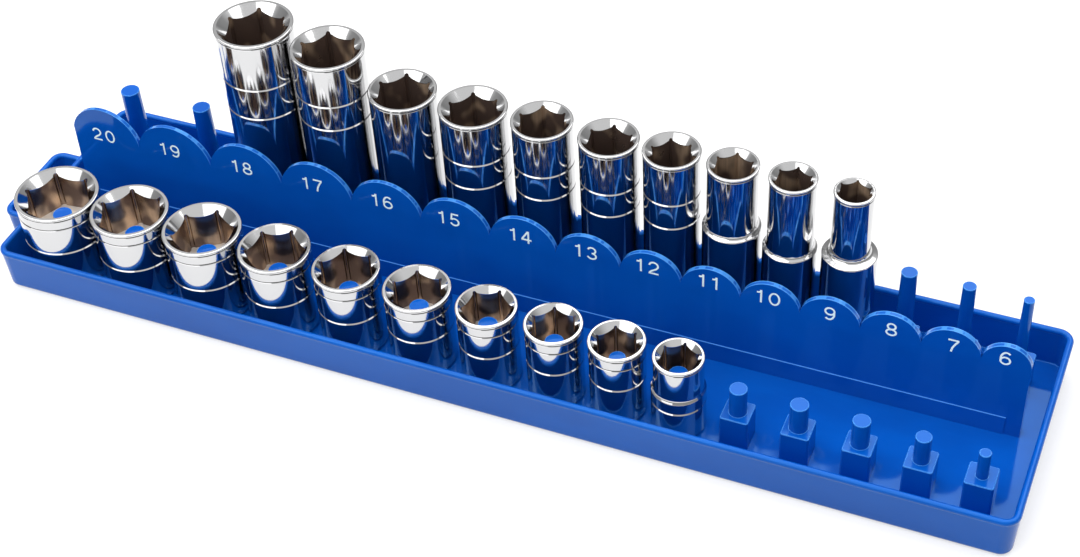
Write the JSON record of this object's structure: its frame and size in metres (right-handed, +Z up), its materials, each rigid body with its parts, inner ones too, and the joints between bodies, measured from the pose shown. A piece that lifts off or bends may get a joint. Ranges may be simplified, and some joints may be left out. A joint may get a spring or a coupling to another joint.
{
  "type": "socket rail",
  "caption": "Blue moulded tray with two rows of posts and a scalloped, numbered divider, holding chrome six-point sockets mouth up, shallow in front and deep behind.",
  "frame": {"origin": "on the surface that the tray stands on, under the middle of the whole rail including the pocket at its left end", "axes": "+X along the rail from the large sizes to the small ones, +Y from the shallow row to the deep row, +Z up"},
  "size_m": [0.3536, 0.0826, 0.0807],
  "materials": {
    "tray": "gloss moulded",
    "shallow_socket_20": "bright chrome plate",
    "shallow_socket_19": "bright chrome plate",
    "shallow_socket_18": "bright chrome plate",
    "shallow_socket_17": "bright chrome plate",
    "shallow_socket_16": "bright chrome plate",
    "shallow_socket_15": "bright chrome plate",
    "shallow_socket_14": "bright chrome plate",
    "shallow_socket_13": "bright chrome plate",
    "shallow_socket_12": "bright chrome plate",
    "shallow_socket_11": "bright chrome plate",
    "deep_socket_18": "bright chrome plate",
    "deep_socket_17": "bright chrome plate",
    "deep_socket_16": "bright chrome plate",
    "deep_socket_15": "bright chrome plate",
    "deep_socket_14": "bright chrome plate",
    "deep_socket_13": "bright chrome plate",
    "deep_socket_12": "bright chrome plate",
    "deep_socket_11": "bright chrome plate",
    "deep_socket_10": "bright chrome plate",
    "deep_socket_9": "bright chrome plate"
  },
  "bodies": {
    "tray": {"tray": "tray"},
    "shallow_socket_20": {"shallow_socket_20": "shallow_socket_20"},
    "shallow_socket_19": {"shallow_socket_19": "shallow_socket_19"},
    "shallow_socket_18": {"shallow_socket_18": "shallow_socket_18"},
    "shallow_socket_17": {"shallow_socket_17": "shallow_socket_17"},
    "shallow_socket_16": {"shallow_socket_16": "shallow_socket_16"},
    "shallow_socket_15": {"shallow_socket_15": "shallow_socket_15"},
    "shallow_socket_14": {"shallow_socket_14": "shallow_socket_14"},
    "shallow_socket_13": {"shallow_socket_13": "shallow_socket_13"},
    "shallow_socket_12": {"shallow_socket_12": "shallow_socket_12"},
    "shallow_socket_11": {"shallow_socket_11": "shallow_socket_11"},
    "deep_socket_18": {"deep_socket_18": "deep_socket_18"},
    "deep_socket_17": {"deep_socket_17": "deep_socket_17"},
    "deep_socket_16": {"deep_socket_16": "deep_socket_16"},
    "deep_socket_15": {"deep_socket_15": "deep_socket_15"},
    "deep_socket_14": {"deep_socket_14": "deep_socket_14"},
    "deep_socket_13": {"deep_socket_13": "deep_socket_13"},
    "deep_socket_12": {"deep_socket_12": "deep_socket_12"},
    "deep_socket_11": {"deep_socket_11": "deep_socket_11"},
    "deep_socket_10": {"deep_socket_10": "deep_socket_10"},
    "deep_socket_9": {"deep_socket_9": "deep_socket_9"}
  },
  "joints": [
    {"name": "lift_shallow_socket_20", "type": "slide", "parent": "tray", "child": "shallow_socket_20", "axis": [0, 0, 1], "range_m": [0, 0.036]},
    {"name": "lift_shallow_socket_19", "type": "slide", "parent": "tray", "child": "shallow_socket_19", "axis": [0, 0, 1], "range_m": [0, 0.036]},
    {"name": "lift_shallow_socket_18", "type": "slide", "parent": "tray", "child": "shallow_socket_18", "axis": [0, 0, 1], "range_m": [0, 0.036]},
    {"name": "lift_shallow_socket_17", "type": "slide", "parent": "tray", "child": "shallow_socket_17", "axis": [0, 0, 1], "range_m": [0, 0.036]},
    {"name": "lift_shallow_socket_16", "type": "slide", "parent": "tray", "child": "shallow_socket_16", "axis": [0, 0, 1], "range_m": [0, 0.036]},
    {"name": "lift_shallow_socket_15", "type": "slide", "parent": "tray", "child": "shallow_socket_15", "axis": [0, 0, 1], "range_m": [0, 0.036]},
    {"name": "lift_shallow_socket_14", "type": "slide", "parent": "tray", "child": "shallow_socket_14", "axis": [0, 0, 1], "range_m": [0, 0.036]},
    {"name": "lift_shallow_socket_13", "type": "slide", "parent": "tray", "child": "shallow_socket_13", "axis": [0, 0, 1], "range_m": [0, 0.036]},
    {"name": "lift_shallow_socket_12", "type": "slide", "parent": "tray", "child": "shallow_socket_12", "axis": [0, 0, 1], "range_m": [0, 0.036]},
    {"name": "lift_shallow_socket_11", "type": "slide", "parent": "tray", "child": "shallow_socket_11", "axis": [0, 0, 1], "range_m": [0, 0.036]},
    {"name": "lift_deep_socket_18", "type": "slide", "parent": "tray", "child": "deep_socket_18", "axis": [0, 0, 1], "range_m": [0, 0.084]},
    {"name": "lift_deep_socket_17", "type": "slide", "parent": "tray", "child": "deep_socket_17", "axis": [0, 0, 1], "range_m": [0, 0.084]},
    {"name": "lift_deep_socket_16", "type": "slide", "parent": "tray", "child": "deep_socket_16", "axis": [0, 0, 1], "range_m": [0, 0.084]},
    {"name": "lift_deep_socket_15", "type": "slide", "parent": "tray", "child": "deep_socket_15", "axis": [0, 0, 1], "range_m": [0, 0.084]},
    {"name": "lift_deep_socket_14", "type": "slide", "parent": "tray", "child": "deep_socket_14", "axis": [0, 0, 1], "range_m": [0, 0.084]},
    {"name": "lift_deep_socket_13", "type": "slide", "parent": "tray", "child": "deep_socket_13", "axis": [0, 0, 1], "range_m": [0, 0.084]},
    {"name": "lift_deep_socket_12", "type": "slide", "parent": "tray", "child": "deep_socket_12", "axis": [0, 0, 1], "range_m": [0, 0.084]},
    {"name": "lift_deep_socket_11", "type": "slide", "parent": "tray", "child": "deep_socket_11", "axis": [0, 0, 1], "range_m": [0, 0.084]},
    {"name": "lift_deep_socket_10", "type": "slide", "parent": "tray", "child": "deep_socket_10", "axis": [0, 0, 1], "range_m": [0, 0.084]},
    {"name": "lift_deep_socket_9", "type": "slide", "parent": "tray", "child": "deep_socket_9", "axis": [0, 0, 1], "range_m": [0, 0.084]}
  ]
}
